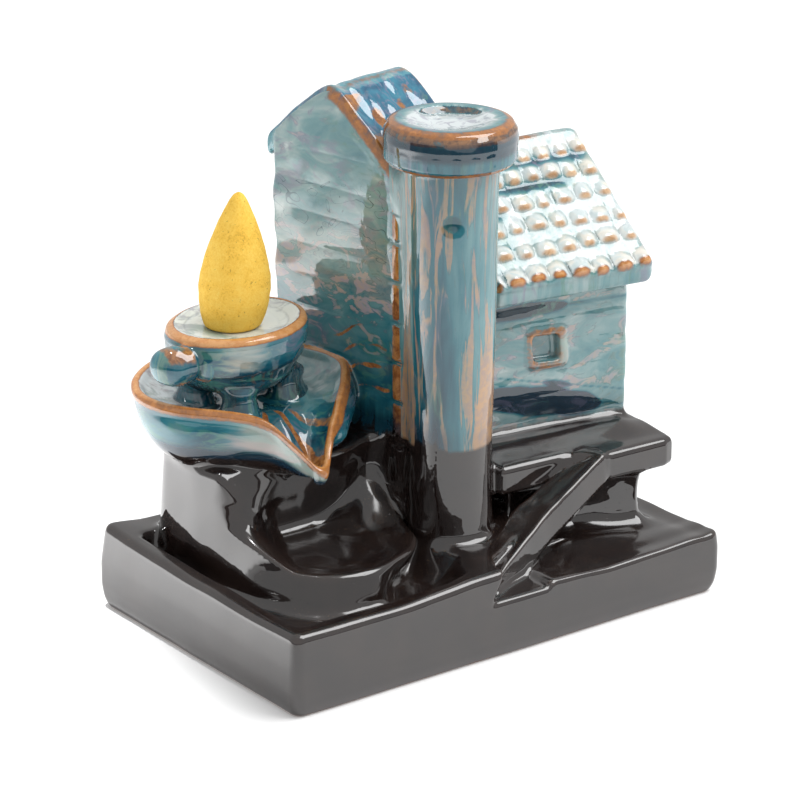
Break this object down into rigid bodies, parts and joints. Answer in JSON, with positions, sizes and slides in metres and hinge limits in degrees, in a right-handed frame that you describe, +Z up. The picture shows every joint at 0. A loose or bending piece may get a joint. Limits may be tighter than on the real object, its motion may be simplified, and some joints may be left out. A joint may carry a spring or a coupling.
{
  "type": "backflow incense burner",
  "caption": "Glazed ceramic backflow incense burner: tray with pool, rock mound, leaf basin, footed pot with a smoke hole, chimney, two small houses and a chute; the cone lifts off.",
  "frame": {"origin": "middle of the tray's underside", "axes": "+X along the long front edge to the right seen from the front, +Y to the back, +Z up"},
  "size_m": [0.1076, 0.0708, 0.1067],
  "materials": {
    "black_glaze": "glossy black-brown reduction glaze",
    "teal_glaze": "glossy teal and blue-grey glaze breaking to amber on the edges",
    "amber_glaze": "glossy glaze, amber over blue-green",
    "roof_glaze": "glossy pale turquoise glaze with amber tips",
    "incense": "matte pressed wood powder, mustard yellow"
  },
  "bodies": {
    "ceramic_body": {"tray": "black_glaze", "rock_mound": "black_glaze", "leaf_basin": "teal_glaze", "smoke_pot": "teal_glaze", "pot_peg": "amber_glaze", "pot_foot_front": "teal_glaze", "pot_foot_left": "teal_glaze", "pot_foot_right": "teal_glaze", "tall_house_walls": "teal_glaze", "tall_house_roof": "roof_glaze", "chimney_shaft": "teal_glaze", "chimney_cap": "amber_glaze", "deck": "black_glaze", "deck_pier": "black_glaze", "cottage_roof": "roof_glaze", "cottage_walls": "teal_glaze", "chute": "black_glaze"},
    "cone": {"incense_cone": "incense"}
  },
  "joints": [
    {"name": "cone_lift", "type": "slide", "parent": "ceramic_body", "child": "cone", "axis": [0, 0, 1], "range_m": [0, 0.05]}
  ]
}
